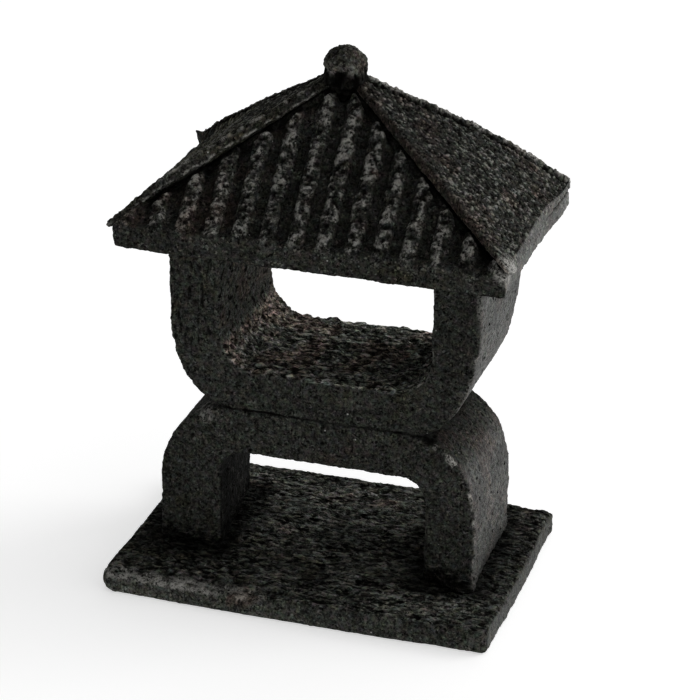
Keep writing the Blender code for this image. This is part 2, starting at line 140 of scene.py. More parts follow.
def noise(points, size, seed):
    """Smooth noise from -1 to 1 with lumps of about size; size may differ per axis."""
    scaled = points / np.asarray(size, float)
    low = np.floor(scaled)
    part = scaled - low
    part = part * part * part * (part * (part * 6 - 15) + 10)
    total = np.zeros(len(points))
    for corner in np.ndindex(2, 2, 2):
        corner = np.array(corner)
        weight = np.prod(np.where(corner == 1, part, 1 - part), axis=1)
        total += weight * hashed(low + corner, seed)
    return total * 2 - 1


TURN = np.array(Matrix.Rotation(0.9, 3, Vector((1, 2, 3)).normalized()))


def rough(points, size, octaves, seed, turned=True):
    """Noise with finer and fainter noise on top."""
    total = np.zeros(len(points))
    strength = 1.0
    size = np.asarray(size, float)
    for octave in range(octaves):
        total += strength * noise(points, size, seed + octave)
        strength *= 0.55
        size = size * 0.47
        if turned:
            points = points @ TURN.T
    return total


def pits(points, spacing, radii, share, seed):
    """Depth from 0 to 1 of round pits: at most one in each cell of a grid, in a place and size of its own."""
    scaled = points / np.asarray(spacing, float)
    home = np.floor(scaled)
    depth = np.zeros(len(points))
    for offset in np.ndindex(3, 3, 3):
        cell = home + np.array(offset) - 1
        there = hashed(cell, seed) < share
        place = np.stack([hashed(cell, seed + k) for k in (1, 2, 3)], axis=1)
        radius = radii[0] + (radii[1] - radii[0]) * hashed(cell, seed + 4) ** 2
        away = np.linalg.norm(scaled - cell - place, axis=1) / radius
        depth = np.maximum(depth, there * np.clip(1 - away**2, 0, 1))
    return depth


def ramp(value, low, high):
    """0 below low, 1 above high, and smooth between them."""
    share = np.clip((value - low) / (high - low), 0, 1)
    return share * share * (3 - 2 * share)


# ---------------------------------------------------------------- from solid to stone


def evaluated_mesh(obj):
    graph = bpy.context.evaluated_depsgraph_get()
    return bpy.data.meshes.new_from_object(obj.evaluated_get(graph))


def coordinates(mesh):
    values = np.empty(len(mesh.vertices) * 3, np.float32)
    mesh.vertices.foreach_get("co", values)
    return values.reshape(-1, 3).astype(float)


def normals(mesh):
    values = np.empty(len(mesh.vertices) * 3, np.float32)
    mesh.vertex_normals.foreach_get("vector", values)
    return values.reshape(-1, 3).astype(float)


def put_coordinates(mesh, points):
    mesh.vertices.foreach_set("co", points.astype(np.float32).ravel())
    mesh.update()


def smoothed(mesh, repeats):
    """The mesh's coordinates after Blender's Smooth modifier."""
    helper = bpy.data.objects.new("smoothing", mesh)
    bpy.context.scene.collection.objects.link(helper)
    modifier = helper.modifiers.new("smooth", "SMOOTH")
    modifier.factor = 0.5
    modifier.iterations = repeats
    result = evaluated_mesh(helper)
    points = coordinates(result)
    bpy.data.objects.remove(helper)
    bpy.data.meshes.remove(result)
    return points


def remeshed(node, voxel):
    """A fine, even mesh of a CAD node's solid."""
    helper = bpy.data.objects.new("remeshing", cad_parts[node].data.copy())
    bpy.context.scene.collection.objects.link(helper)
    modifier = helper.modifiers.new("voxels", "REMESH")
    modifier.mode = "VOXEL"
    modifier.voxel_size = voxel
    result = evaluated_mesh(helper)
    bpy.data.objects.remove(helper)
    return result


def add_attribute(mesh, name, values):
    layer = mesh.attributes.new(name, "FLOAT", "POINT")
    layer.data.foreach_set("value", np.asarray(values, np.float32))


def stone(node, slot, carve, warp, round_mm=1.0, swell_mm=0.25):
    """A carved stone in place of a CAD node. carve gives its relief and the shares that the material reads,
    and warp moves the surface as a whole."""
    voxel = VOXEL[node] * 1.0
    mesh = remeshed(node, voxel * MM)
    soft = smoothed(mesh, max(2, round(ROUNDING_PASSES * (round_mm / voxel) ** 2)))
    put_coordinates(mesh, soft)
    direction = normals(mesh)
    points = soft / MM
    softer = smoothed(mesh, max(4, round(EDGE_PASSES / voxel**2))) / MM
    edge = np.sum((points - softer) * direction, axis=1)
    shares = carve(points, direction, edge)
    height = shares.pop("height") + swell_mm
    points = points + direction * height[:, None]
    points = points + warp(points, direction)
    put_coordinates(mesh, points * MM)
    for name, values in shares.items():
        add_attribute(mesh, name, values)
    mesh.materials.clear()
    mesh.materials.append(stone_looks[slot])
    mesh.shade_smooth()
    piece = bpy.data.objects.new(node + "_stone", mesh)
    bpy.context.scene.collection.objects.link(piece)
    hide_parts(node)
    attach(piece, "root")


def worn_edges(points, edge, seed, strength=1.0):
    """How much the edges have broken away, in millimetres, and how light they are rubbed."""
    sharp = ramp(edge, 0.08, 0.45)
    broken = ramp(noise(points, 2.6, seed), -0.2, 0.6) + 0.7 * ramp(noise(points, 1.1, seed + 1), 0.0, 0.7)
    rubbed = ramp(noise(points, 5.0, seed + 2), -0.5, 0.6)
    return sharp * broken * 0.5 * strength, sharp * rubbed


def pores(points, spacing, radius, share, seed):
    """Round pores at two sizes: depth from 0 to 1."""
    radii = (radius[0] / spacing, radius[1] / spacing)
    first = pits(points, spacing, radii, share, seed)
    second = pits(points @ TURN, 1.7 * spacing, radii, share, seed + 7)
    return np.maximum(first, second)


def sawn(points, seed, pitted=0.3):
    """A sawn face: nearly flat, with close fine pores and a few larger ones."""
    lumps = 0.22 * rough(points, 8.0, 3, seed)
    grain = rough(points, 1.35, 2, seed + 5)
    fine = pores(points, 1.9, (0.35, 0.70), 0.50, seed + 10)
    coarse = pores(points, 4.6, (0.5, 1.0), pitted, seed + 20)
    hollow = np.maximum(0.8 * fine, coarse)
    crests = 0.35 * ramp(grain, 0.3, 1.1)
    return lumps + 0.20 * grain - 0.45 * fine - 0.6 * coarse, hollow - crests


def chiselled(points, seed, stretch=(2.4, 1.0, 1.0)):
    """A chiselled face: short ridges and pits, drawn out one way."""
    size = np.asarray(stretch, float)
    bent = points + 0.9 * np.stack([noise(points, 3.2, seed + k) for k in (40, 41, 42)], axis=1)
    waves = rough(bent, 1.15 * size, 2, seed, turned=False)
    deep = pits(bent, 2.6 * size**0.6, (0.22, 0.45), 0.45, seed + 10)
    ridges = ramp(waves, 0.05, 0.9)
    troughs = ramp(-waves, 0.05, 0.8)
    height = 0.50 * waves - 0.6 * deep + 0.2 * rough(points, 9.0, 2, seed + 30)
    return height, np.maximum(0.9 * troughs, deep) - ridges


def pebbly(points, seed):
    """A pecked face: tight round grains with pits between them."""
    waves = rough(points, 1.25, 2, seed)
    fine = pores(points, 1.7, (0.35, 0.75), 0.50, seed + 10)
    coarse = pores(points, 3.6, (0.5, 1.0), 0.50, seed + 20)
    height = 0.42 * waves - 0.35 * fine - 0.60 * coarse + 0.15 * rough(points, 8.0, 2, seed + 30)
    hollow = np.maximum(0.8 * ramp(-waves, 0.05, 0.8), np.maximum(fine, coarse))
    return height, hollow - ramp(waves, 0.1, 0.9)


def mixed(share, first, second):
    """Two (height, cavity) surfaces, from the first at share 0 to the second at share 1."""
    return tuple(a * (1 - share) + b * share for a, b in zip(first, second))


def seams(points, direction):
    """Share of the dark joints between the stones, at a few heights."""
    upright = 1 - ramp(np.abs(direction[:, 2]), 0.5, 0.9)
    lines = sum(1 - ramp(np.abs(points[:, 2] - height), 0.5, 1.3) for height in SEAM_HEIGHTS)
    return upright * lines


def waist_line(points, direction):
    """Share of the dark, broken line in front where the cradle stands on the arch: the joint, with painted
    shade under the cradle's front edge.
    """
    front = ramp(-direction[:, 1], -0.2, 0.4)
    reach = ramp(np.abs(points[:, 0] - 8) + 5 * noise(points, 7.0, 95), 11, 17)
    reach = reach * ramp(noise(points, 4.5, 97), -0.6, 0.2)
    width = 0.9 + 0.5 * noise(points, 5.0, 96)
    return front * reach * (1 - ramp(np.abs(points[:, 2] - WAIST_Z - 0.3) / width, 0.6, 1.8))


def spot(points, centre, inner, outer, seed):
    """From 1 at a place on the stone to 0 beyond its ragged rim."""
    away = np.linalg.norm(points - np.array(centre), axis=1)
    return 1 - ramp(away + 1.2 * noise(points, 2.0, seed), inner, outer)


def bedding(direction):
    """Level faces grow a little, so that the stones close on each other."""
    return 0.3 * ramp(np.abs(direction[:, 2]), 0.8, 0.95)


def flat_top(direction):
    """Share of the faces that look up."""
    return ramp(direction[:, 2], 0.2, 0.5)


def hip_distance(points, corner):
    """Level distance from the hip through a roof corner, larger than 0 to its left seen from the apex."""
    along = np.array(corner) - APEX
    away = points[:, :2] - APEX
    return (along[0] * away[:, 1] - along[1] * away[:, 0]) / np.hypot(*along)


def fields(points, height, cavity, seed, wear=0.0, tone=1.0, polish=0.0, rust=-0.5, streak=0.0):
    """A carving's relief in millimetres and its shares: cavity runs from -1, a crest, to 1, a pore."""
    flat = np.zeros(len(points))
    mottle = 0.14 * noise(points, 17.0, seed) + 0.16 * noise(points, 5.0, seed + 3)
    return {
        "height": height,
        "cavity": cavity,
        "wear": wear + flat,
        "tone": tone * (1.0 + mottle),
        "warmth": rust + noise(points, 11.0, seed + 1) + 0.5 * noise(points, 4.0, seed + 2),
        "polish": polish + flat,
        "streak": streak + flat,
    }


# ---------------------------------------------------------------- the stones


def side_faces(points, direction, side_x):
    """Share of the outer left and right faces, which are ground smooth."""
    return ramp(np.abs(direction[:, 0]), 0.65, 0.97) * ramp(np.abs(points[:, 0]), *side_x)


def side_holes(points, sides, seed):
    """Scattered black holes in a ground side face."""
    return 1.2 * sides * ramp(pits(points, 3.6, (0.14, 0.32), 0.75, seed), 0.1, 0.5)


def foot_shade(points):
    """Painted shade on the base round the arch's feet, where their shadow falls."""
    near_y, far_y = ARCH_FEET_Y
    y_gap = np.maximum(np.maximum(near_y - points[:, 1], points[:, 1] - far_y), 0)
    shade = np.zeros(len(points))
    for low_x, high_x in ARCH_FEET_X:
        x_gap = np.maximum(np.maximum(low_x - points[:, 0], points[:, 0] - high_x), 0)
        away = np.hypot(x_gap, 0.8 * y_gap) + 1.6 * noise(points, 4.0, 90)
        shade = np.maximum(shade, 1 - ramp(away, 1.5, 11.0))
    return shade


def carve_base(points, direction, edge):
    """Chiselled on top, sawn round the edges and flat underneath."""
    x, y, z = points.T
    top = ramp(direction[:, 2], 0.55, 0.85)
    height, cavity = mixed(top, sawn(points, 100), chiselled(points, 140))
    broken, worn = worn_edges(points, edge, 180, 1.3)
    ground = 1 - ramp(-direction[:, 2], 0.8, 0.95)

    # The rubbed front and right edges, and the tan spot
    front = ramp(-y, 46, 49) * ramp(z, *BASE_UPPER_Z)
    band = front * ramp(-x + 8 * noise(points, 9.0, 185), 8, 30)
    side = ramp(x, 71, 74) * ramp(z, *BASE_UPPER_Z)
    tan = spot(points, TAN_SPOT, 0.5, 3.8, 188)
    stain = spot(points, TAN_SPOT, 3.0, 9.0, 189)
    wear = worn * np.maximum(0.7 * front, 1.1 * side)
    wear = np.maximum(wear, 1.5 * band * ramp(noise(points, 2.5, 187), -0.8, 0.1))
    wear = np.maximum(wear, 1.6 * tan)
    cavity = cavity * (1 - 0.6 * np.maximum(band, tan)) + seams(points, direction)

    # The top gets painted shade round the feet and is lighter in its middle, and the front face lighter towards
    # the left
    front_left = ramp(-direction[:, 1], -0.1, 0.6) * ramp(-x, -10, 30)
    front_face = ramp(-direction[:, 1], 0.5, 0.9)
    middle = ramp(y, -42, -30) * (1 - ramp(np.abs(x), 30, 50))
    worked = 0.35 * noise(points, 13.0, 191) - 0.25 * ramp(x, 55, 68)
    tone = (1 - 0.80 * top * foot_shade(points)) * (1 + 0.55 * front_left)
    tone = tone * (1 + top * (0.45 + 0.2 * middle)) * (1 + top * worked)
    tone = tone * (1 + front_face * (0.26 + 0.35 * noise(points, 2.6, 186)))

    polish = 0.6 * side_faces(points, direction, BASE_SIDE_X)
    rust = -0.7 + 0.5 * top * ramp(y, -20, 10) + 1.5 * stain
    streak = top * (0.7 + 0.5 * ramp(noise(points, 10.0, 192), -0.5, 0.4))
    return fields(points, (height - broken) * ground, cavity, 190, wear, tone, polish, rust, streak)


def warp_base(points, direction):
    """The front left end is round, the front bows out and is chipped below, and the ends, the right corners
    and the back rim stand out a little."""
    x, y, z = points.T
    end = ramp(-x, 60, 75) * ramp(-y, 10, 42)
    bow = 1 - np.sqrt(np.clip(1 - ((z - 4.7) / 5.2) ** 2, 0, 1))
    move_x = end * (2.6 * bow - 2.3)
    front = ramp(-y, 44, 50)
    lip = front * ramp(z, 5.5, 9.4) * ramp(-x, -15, 20)
    chip = front * (1 - ramp(z, 0.3, 3.0)) * (1 - ramp(x, 55, 58)) * (0.3 + 0.3 * noise(points, 6.0, 195))
    out = front * (2.3 - 1.2 * ramp(np.abs(x), 30, 75))
    back_rim = ramp(y, 43, 48.5) * ramp(z, 5.0, 9.0) * (1 - ramp(np.abs(x), 50, 66))
    corner = ramp(x, 68, 73) * ramp(np.abs(y + 0.8), 44, 49)
    edge = 0.7 * ramp(np.abs(x), 70, 74) * np.sign(x) * ramp(y, -44, -28) * (1 - ramp(x * y, 1200, 2600))
    move_x = move_x + 1.0 * corner + edge
    move_y = 0.8 * lip - out + 1.0 * corner * np.sign(y) + 1.0 * back_rim
    return np.stack([move_x, move_y, 0.35 * chip - 1.1 * lip + 0.6 * back_rim], axis=1)


def feet(points):
    """Share of the rough lower ends of the arch's legs."""
    return 1 - ramp(points[:, 2] + 3 * noise(points, 6.0, 205), *ARCH_FEET_Z)


def carve_arch(points, direction, edge):
    """Sawn, with ground side faces and rough feet, darker towards the bottom."""
    x, y, z = points.T
    sides = side_faces(points, direction, ARCH_SIDE_X)
    rough_feet = feet(points) * (1 - 0.6 * sides)
    surface = sawn(points, 200, pitted=0.8)
    surface = mixed(0.5 * sides, surface, chiselled(points, 240, (1.0, 1.6, 1.2)))
    height, cavity = mixed(0.9 * rough_feet, surface, chiselled(points, 260, (1.6, 1.0, 1.6)))
    broken, worn = worn_edges(points, edge, 280)

    # Painted shade on the inside of the left leg and on the top beside the cradle; the right shoulder, and the
    # pale left one
    inner = ramp(direction[:, 0], 0.4, 0.9) * ramp(-x, 30, 38) * (1 - ramp(-x, 50, 55))
    notch_shade = ramp(z, 62, 69) * ramp(direction[:, 2], 0.2, 0.7) * (1 - ramp(np.abs(x - 2), 44, 52))
    shoulder = ramp(z, 50, 62) * ramp(x, 38, 46)
    pale = spot(points, PALE_SHOULDER, 3.5, 7.5, 286)

    # Rubbed stone: the right leg's front edge, with chips out of it, and the pale shoulder
    right_edge = ramp(x, 38, 50) * ramp(-y, 15, 20)
    chipped = ramp(edge, 0.05, 0.25) * right_edge * ramp(noise(points, 3.4, 283), -0.15, 0.25)
    chipped = chipped * ramp(z, 20, 32)
    wear = np.maximum(worn * (0.15 + 0.5 * right_edge), 0.8 * pale * ramp(noise(points, 1.5, 287), -0.6, 0.3))
    wear = np.maximum(wear, np.maximum(1.3 * chipped, 0.2 * inner * ramp(noise(points, 2.2, 288), 0.2, 0.6)))

    cavity = cavity * (1 - 0.3 * sides) + seams(points, direction) + waist_line(points, direction)
    # Painted shadow in the notch between the arch's right shoulder and the cradle
    cavity = np.maximum(cavity, 0.9 * spot(points, NOTCH_SHADOW, 1.0, 6.0, 289))
    cavity = np.maximum(cavity, side_holes(points, sides, 270))

    mottled = noise(points, 6.0, 285) + 0.8 * noise(points, 2.4, 284)
    left_leg = ramp(-x, 40, 46) * (1 - ramp(z, 50, 60))
    # The legs get darker towards their feet
    low_darkening = 1 - ramp(z + 2 * noise(points, 4.0, 282), 11.5, 18.0)
    # Painted shade darkens the inside of the left leg and the top beside the cradle
    tone = (1 + 0.02 * sides) * (1 - 0.85 * inner) * (1 + 0.50 * sides * mottled) * (1 - 0.16 * left_leg)
    tone = tone * (1 - 0.75 * notch_shade * (1 - pale)) * (1 + 0.4 * pale)
    tone = tone * (1 - 0.25 * rough_feet) * (1 - 0.6 * low_darkening) * (1 - 0.15 * shoulder)

    rust = -0.7 + 0.9 * sides + 0.7 * shoulder
    streak = np.maximum(0.9 * rough_feet * (1 - sides), 0.40 * sides)
    return fields(points, height - broken + bedding(direction), cavity, 290, wear, tone, sides, rust, streak)


def warp_arch(points, direction):
    """The right leg's front corner flares out at the foot, both feet are lumpy, and the right shoulder is
    full."""
    x, y, z = points.T
    low = 1 - ramp(z, 10.5, 27.0)
    flare = low**2 * ramp(x, 42, 58) * ramp(-y, 10, 22)
    lumps = 0.8 * low * ramp(-y, 15, 20) * noise(points, 3.5, 296)
    full = 0.8 * ramp(x, 36, 44) * ramp(z, 48, 56) * ramp(direction[:, 2], 0.1, 0.4)
    return np.stack([1.5 * flare, -5.5 * flare - lumps, 0 * x], axis=1) + direction * full[:, None]


def carve_cradle(points, direction, edge):
    """Sawn, with ground side faces, a tooled left leg and a chiselled trough."""
    x, z = points[:, 0], points[:, 2]
    sides = side_faces(points, direction, CRADLE_SIDE_X)
    trough = ramp(direction[:, 2], 0.25, 0.6) * ramp(-z, -116, -108)
    tooled = ramp(-direction[:, 1], 0.6, 0.9) * ramp(-x, 34, 38) * ramp(z, 90, 100)
    surface = sawn(points, 300, pitted=0.5)
    surface = mixed(0.85 * tooled, surface, chiselled(points, 320, (0.9, 0.9, 3.2)))
    height, cavity = mixed(trough, surface, chiselled(points, 340, (3.0, 1.2, 1.0)))
    height = height - 0.3 * trough * cavity
    broken, worn = worn_edges(points, edge, 380, 0.8)
    right_edge = ramp(x, 38, 46) * ramp(-points[:, 1], 19, 23) * ramp(z, 80, 92)
    wear = worn * (0.1 + 0.7 * right_edge)

    # The inside of the left leg has crests and holes of its own
    inner = ramp(direction[:, 0], 0.4, 0.9) * ramp(-x, 25, 33) * (1 - ramp(-x, 45, 50))
    cavity = cavity * (1 - 0.4 * sides) + seams(points, direction) + waist_line(points, direction)
    cavity = cavity - 0.6 * inner * ramp(noise(points, 1.6, 395), -0.1, 0.5)
    cavity = cavity + 0.9 * inner * ramp(noise(points, 1.8, 396), 0.15, 0.5)
    # Painted shadow in the notch between the cradle and the arch's right shoulder
    cavity = np.maximum(cavity, 0.9 * spot(points, NOTCH_SHADOW, 1.0, 5.0, 289))
    cavity = np.maximum(cavity, side_holes(points, sides, 370))

    mottled = noise(points, 6.0, 385) + 0.8 * noise(points, 2.4, 384)
    # Painted shade under the cradle near the waist; painted light in the trough and on the inside of the left
    # leg, which is also browner
    under = ramp(-direction[:, 2], 0.1, 0.5) * (1 - ramp(z, 73, 82))
    low = 1 - ramp(z, 78, 92)
    right_leg = ramp(x, 38, 44) * ramp(z, 90, 100) * ramp(-direction[:, 1], 0.5, 0.9)
    tone = (1 + 0.12 * sides + 0.45 * sides * mottled) * (1 + 3.1 * trough) * (1 + 0.40 * inner)
    tone = tone * (1 - 0.7 * under) * (1 - 0.10 * low) * (1 - 0.18 * right_leg)

    rust = -0.7 + 1.0 * inner + 0.9 * trough + 0.8 * sides
    streak = np.maximum(trough, 0.35 * sides)
    return fields(points, height - broken + bedding(direction), cavity, 390, wear, tone, sides, rust, streak)


def warp_cradle(points, direction):
    """The left leg is a little thick, and so are the lower left corner and the upper right side."""
    x, z = points[:, 0], points[:, 2]
    to_left, to_right = ramp(-direction[:, 0], -0.2, 0.3), ramp(direction[:, 0], 0.2, 0.6)
    lower_left = ramp(-x, 30, 45) * ramp(z, 72, 78) * (1 - ramp(z, 96, 112)) * to_left
    inner_left = ramp(-x, 25, 33) * to_right * (1 - ramp(-x, 45, 50))
    upper_right = ramp(x, 48, 54) * ramp(z, 104, 116) * (1 - ramp(z, 130, 137)) * to_right
    out = 1.0 * lower_left + 0.9 * inner_left + 1.2 * upper_right
    return direction * out[:, None]


def carve_core(points, direction, edge):
    """Sawn, with ground eave ends, and painted shade in a recess along the front hips."""
    sides = side_faces(points, direction, ROOF_SIDE_X)
    height, cavity = sawn(points, 400)
    broken, worn = worn_edges(points, edge, 480)
    cavity = cavity * (1 - 0.3 * sides) + seams(points, direction)
    # Painted shade in the recess along the front hips, which also stands out a little
    left = np.abs(hip_distance(points, FRONT_LEFT))
    right = np.abs(hip_distance(points, FRONT_RIGHT))
    recess = ramp(points[:, 2], 149.5, 151.0) * (1 - ramp(np.minimum(left, right), 4.0, 6.0))
    cavity = np.maximum(cavity, (0.70 + 0.3 * noise(points, 3.5, 486)) * recess)
    wear = np.maximum(worn * np.maximum(0.3, 0.6 * sides), corner_light(points))
    mottled = noise(points, 5.0, 485) + 0.8 * noise(points, 2.2, 484)
    tone = 1 + 0.60 * sides + 0.95 * sides * mottled
    return fields(points, height - broken + 0.4 * recess, cavity, 490, wear, tone, sides, -0.5 + 0.6 * sides)


def corner_light(points):
    """The pale broken stone at the roof's front right corner."""
    return 1.2 * spot(points, PALE_CORNER, 3.0, 8.2, 495)


def right_swell(points):
    """How far the right eave bulges out, most of all low down and towards the back corner."""
    x, y, z = points.T
    back = ramp(y, 15, 40)
    return (1.2 * (1 - ramp(z, 147, 152)) * (1 - 0.6 * back) + 1.9 * back) * ramp(x, 62, 69)


def warp_core(points, direction):
    """The right eave swells, and the left one is a little worn."""
    x, y = points[:, 0], points[:, 1]
    left = 0.5 * ramp(y, -30, -5) * ramp(-x, 68, 74)
    return np.stack([right_swell(points) + left, 0 * x, 0 * x], axis=1)


def rib_crest(points):
    """From 0 in the valleys between the ribs to 1 on a crest."""
    phase = ((points[:, 0] - RIB_FIRST_X) / RIB_PITCH + 0.5) % 1.0 - 0.5
    return np.clip(1 - (phase / RIB_HALF_SHARE) ** 2, 0, 1)


def hip_recess_and_shade(points, left_corner, right_corner):
    """Share of the recess that runs along both hips of a tiled slope, where the ribs sink and painted shade is
    put.
    """
    left = np.abs(hip_distance(points, left_corner))
    right = np.abs(hip_distance(points, right_corner))
    recess = np.maximum(1 - ramp(left, 1.0, 2.6), 1 - ramp(right, 0.2, 1.4))
    return recess * ramp(points[:, 2], *SLOPE_Z) * (1 - ramp(np.abs(points[:, 0]), 66, 71))


def carve_tiles(seed, left_corner, right_corner):
    """The carving of a slope with tile ribs: rough crests, rubbed pale and with a painted highlight, between
    valleys with painted shade.
    """

    def carve(points, direction, edge):
        # Knobbly, porous ribs with a painted shadow line on each side and painted shade in the valleys, above a
        # sawn band
        slope = ramp(points[:, 2], *SLOPE_Z) * ramp(direction[:, 2], -0.2, 0.2)
        waver = 0.6 * noise(points, 6.0, seed + 5) + 0.5 * noise(points, 2.4, seed + 6)
        crest = rib_crest(points + np.stack([waver, 0 * waver, 0 * waver], axis=1))
        knobs = rough(points, (1.9, 1.8, 1.8), 3, seed)
        holes = pores(points, 1.9, (0.4, 0.85), 0.62, seed + 10)
        sunk_and_shaded = hip_recess_and_shade(points, left_corner, right_corner)
        ribbed = (0.18 + 0.50 * crest) * knobs - 0.6 * holes * crest - 2.2 * sunk_and_shaded * crest
        pattern = np.maximum(holes, 0.8 * ramp(-knobs, 0.1, 0.9)) - ramp(knobs, 0.0, 0.8)
        ditch_shadow = np.exp(-(((crest - 0.12) / 0.14) ** 2)) * ramp(noise(points, 4.0, seed + 7), -0.5, 0.3)
        shade = 0.22 * (1 - ramp(crest, 0.0, 0.4)) + 0.45 * ditch_shadow
        height, cavity = mixed(slope, sawn(points, seed + 20), (ribbed, pattern * crest + shade))

        # The ribs' toes stand out a little over the band
        outward = ramp(np.abs(direction[:, 1]), 0.5, 0.9) * (1 - slope)
        toes = crest**0.5 * ramp(points[:, 2], 144.0, 148.5) * outward
        height = height + 0.9 * toes * (0.6 + 0.5 * knobs)

        # The recess along the hips gets painted shade, and the crests are rubbed pale and carry a painted
        # highlight
        cavity = cavity * (1 - sunk_and_shaded) + (0.62 + 0.40 * noise(points, 3.5, seed + 8)) * sunk_and_shaded
        light = slope * (1 - sunk_and_shaded) * ramp(crest, 0.05, 0.85) * ramp(knobs, -0.45, 0.6)
        wear = np.maximum(0.86 * light**1.5, 0.35 * toes * ramp(knobs, 0.0, 0.7))
        wear = np.maximum(wear, corner_light(points))
        tone = 1 - 0.12 * slope * (1 - crest)
        rust = -0.7 + 0.5 * slope + 0.8 * slope * ramp(-points[:, 0], 20, 45)
        return fields(points, height, cavity + seams(points, direction), seed + 50, wear, tone, rust=rust)

    return carve


def flatten_rib_ends(points, direction, left_corner, right_corner):
    """How far the ribs' cut ends go down into the recess along the hips."""
    sunk_and_shaded = hip_recess_and_shade(points, left_corner, right_corner)
    return -2.4 * sunk_and_shaded * rib_crest(points) * (1 - ramp(direction[:, 2], 0.1, 0.5))


def corner_drop(points):
    """How far the left slab's thin front corner hangs down, in millimetres."""
    return 2.4 * ramp(-points[:, 0], 55, 75) * (1 - ramp(points[:, 1], -30, 0))


def warp_front_tiles(points, direction):
    """The left corner is filled up to the slab on it, and the band's lower left end is round."""
    x, z = points[:, 0], points[:, 2]
    under = SLAB_FOOT_Z + SLAB_RAMP * (x - FRONT_LEFT[0]) - corner_drop(points)
    near = 1 - ramp(np.abs(hip_distance(points, FRONT_LEFT)), 1.5, 5.0)
    fill = np.clip(under - z - 0.2, 0, 3.2) * near * ramp(-x, 58, 65) * ramp(direction[:, 2], 0.0, 0.3)
    end = ramp(-x, 66, 73) * (1 - ramp(z, 140.0, 145.0))
    lower = flatten_rib_ends(points, direction, FRONT_LEFT, FRONT_RIGHT)
    return np.stack([0.8 * end, 0 * x, fill * ramp(z, 147.5, 149.0) + 0.3 * end + lower], axis=1)


def warp_back_tiles(points, direction):
    """The band's left end sticks out past the slab as a blunt horn."""
    x, y, z = points.T
    horn = ramp(-x, 66, 71) * ramp(y, 43, 46)
    upper = ramp(z, 145, 150)
    right_end = ramp(x, 70, 74)
    lower = flatten_rib_ends(points, direction, BACK_LEFT, BACK_RIGHT)
    move_x = horn * (1.3 - 1.7 * upper) - 1.6 * right_end
    return np.stack([move_x, 0.3 * horn, lower * (1 - horn) + 1.9 * horn * upper], axis=1)


def edge_height(points, face):
    """From 0 at the lower to 1 at the upper rim of a slab's hip edge, measured on the mesh itself."""
    marks = np.arange(points[:, 0].min(), points[:, 0].max(), 1.5)
    low, high = [], []
    for mark in marks:
        near = points[face & (np.abs(points[:, 0] - mark) < 1.5), 2]
        low.append(near.min() if len(near) else np.nan)
        high.append(near.max() if len(near) else np.nan)
    known = ~np.isnan(low)
    low = np.interp(points[:, 0], marks[known], np.array(low)[known])
    high = np.interp(points[:, 0], marks[known], np.array(high)[known])
    return (points[:, 2] - low) / np.maximum(high - low, 0.5)


def carve_slab(seed, front_corner, back_corner, rim, smooth, rust, face_shade):
    """The carving of a plain side slab. Along its front hip, rim, smooth and face_shade say how ridged and how
    smooth the edge is, and how much painted shade its face gets."""

    def carve(points, direction, edge):
        # Pecked on top and sawn round the edges, with a face of its own along the front hip
        front = np.abs(hip_distance(points, front_corner))
        back = np.abs(hip_distance(points, back_corner)) + 0.3 * noise(points, 4.0, seed + 91)
        outward = ramp(-direction[:, 1], 0.45, 0.75)
        face = (1 - ramp(front, 1.0, 2.2)) * outward
        top = flat_top(direction)
        plates = 1 - ramp(direction[:, 2], 0.3, 0.6)
        height, cavity = pebbly(points, seed)
        height, cavity = mixed(0.7 * plates, (height, cavity), sawn(points, seed + 50))
        height, cavity = mixed(smooth * face, (height, cavity), (0.3 * height, 0 * cavity))
        broken, worn = worn_edges(points, edge, seed + 60, 0.6)

        # Two broken ridges on the front face, and a light rim behind a groove along the back hip; the groove
        # gets painted shade
        up = edge_height(points, front < 1.5) + 0.08 * noise(points, 3.0, seed + 90)
        line = outward * np.exp(-(((up - 0.36) / 0.09) ** 2))
        ridges = (1 - ramp(front, 1.3, 2.2)) * np.maximum(ramp(up, 0.74, 0.90), line)
        ridges = ridges * ramp(noise(points, 2.2, seed + 92), -0.5, 0.1)
        behind = (1 - ramp(back, 1.3, 2.3)) * ramp(noise(points, 2.6, seed + 93), -0.7, 0.1)
        groove = np.exp(-(((back - 3.0) / 0.7) ** 2)) * (1 - face)
        height = height - broken - 0.7 * groove + 0.3 * rim * ridges
        cavity = np.clip(cavity - 0.6 * rim * ridges, -1, 1) + 1.0 * groove

        # Rubbed light: the edges, the rims, the broken corner and the tips of the grains; on the ridges it is
        # also a painted edge highlight
        flecks = ramp(-cavity, 0.40, 0.95) * (1 - face) * top
        wear = np.maximum(0.35 * worn, rim * ridges)
        wear = np.maximum(wear, np.maximum(1.3 * behind, corner_light(points)))
        wear = np.maximum(wear, 0.55 * flecks)

        # The hip face gets painted shade, the slab darkens towards the apex, and its cut end at the eave is
        # light and smooth
        tone = (1 - face_shade * face * (1 - ridges)) * (1 + 0.3 * rim * ridges + 0.6 * behind)
        tone = tone * (1 - 0.12 * top) * (1 - 0.32 * ramp(points[:, 2], 166, 190))
        end = ramp(np.abs(direction[:, 0]), 0.72, 0.9) * (1 - face) * (1 - ramp(points[:, 2], 153, 156))
        tone = tone * (1 + end * (0.6 + 0.5 * noise(points, 4.0, seed + 94)))
        cavity = cavity * (1 - 0.5 * end)
        return fields(points, height, cavity, seed + 70, wear, tone, end, rust + 0.9 * smooth * face)

    return carve


